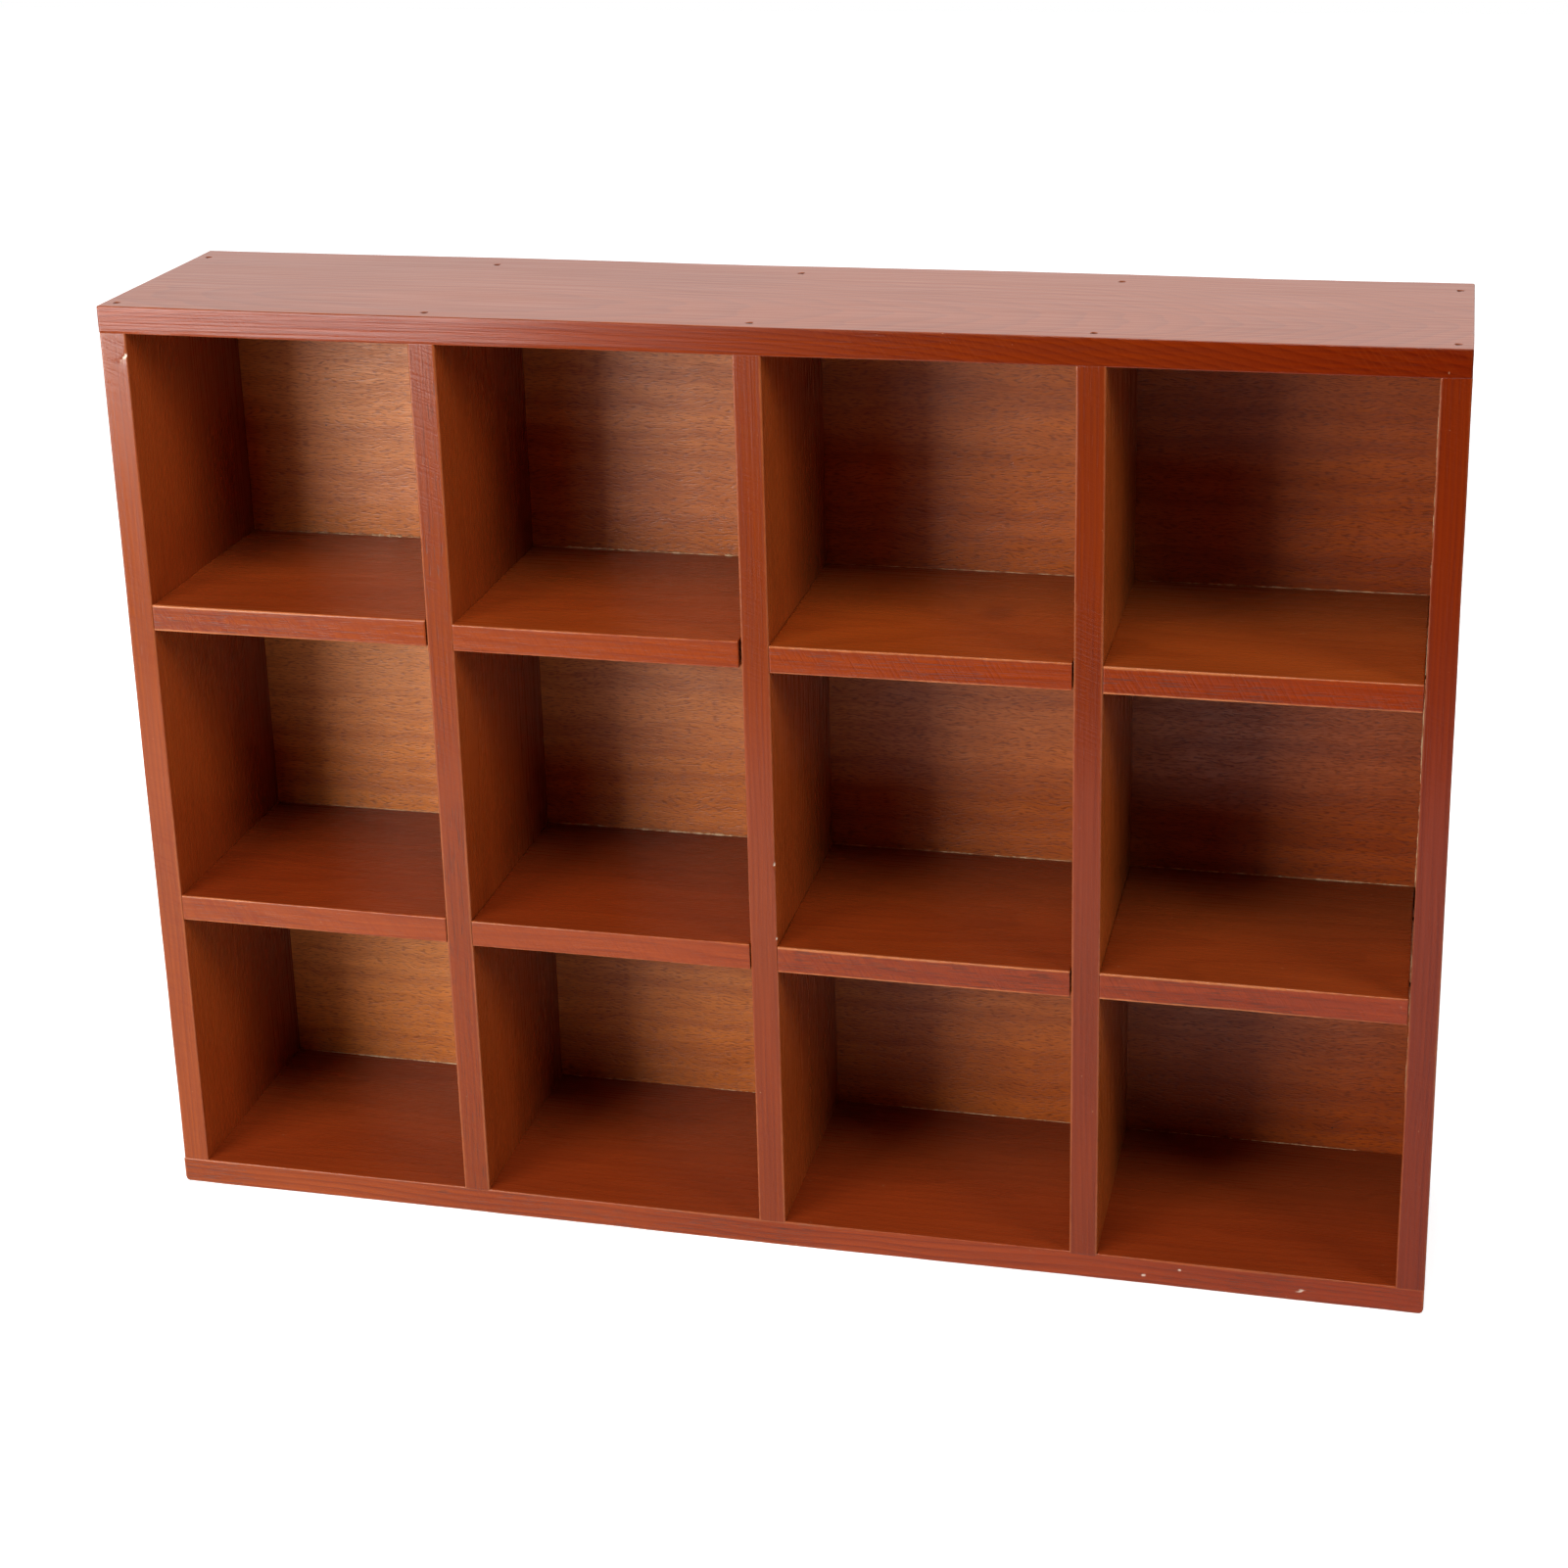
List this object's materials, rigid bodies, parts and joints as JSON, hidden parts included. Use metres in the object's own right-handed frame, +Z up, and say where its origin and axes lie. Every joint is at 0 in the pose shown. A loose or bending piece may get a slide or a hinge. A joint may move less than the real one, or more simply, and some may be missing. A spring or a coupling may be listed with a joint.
{
  "type": "wooden desktop organizer",
  "caption": "Shallow open-front wooden desk organizer: nailed frame boards, upright dividers and short shelves form a grid of alike compartments closed by a plywood back.",
  "frame": {"origin": "middle of the footprint, on the surface that the organizer stands on", "axes": "+X to the right along the width, +Y from the open front to the back panel, +Z up"},
  "size_m": [0.405, 0.0816, 0.3],
  "materials": {
    "stained_wood": "satin",
    "plywood": "matte",
    "nail_steel": "satin"
  },
  "bodies": {
    "root": {"top_board": "stained_wood", "bottom_board": "stained_wood", "left_side": "stained_wood", "right_side": "stained_wood", "divider_1": "stained_wood", "divider_2": "stained_wood", "divider_3": "stained_wood", "shelf_tier1_column1": "stained_wood", "shelf_tier1_column2": "stained_wood", "shelf_tier1_column3": "stained_wood", "shelf_tier1_column4": "stained_wood", "shelf_tier2_column1": "stained_wood", "shelf_tier2_column2": "stained_wood", "shelf_tier2_column3": "stained_wood", "shelf_tier2_column4": "stained_wood", "back_panel": "plywood", "top_nails": "nail_steel", "bottom_nails": "nail_steel", "left_side_nails": "nail_steel", "right_side_nails": "nail_steel", "divider_1_nails": "nail_steel", "divider_2_nails": "nail_steel", "divider_3_nails": "nail_steel", "back_panel_nails": "nail_steel"}
  },
  "joints": []
}
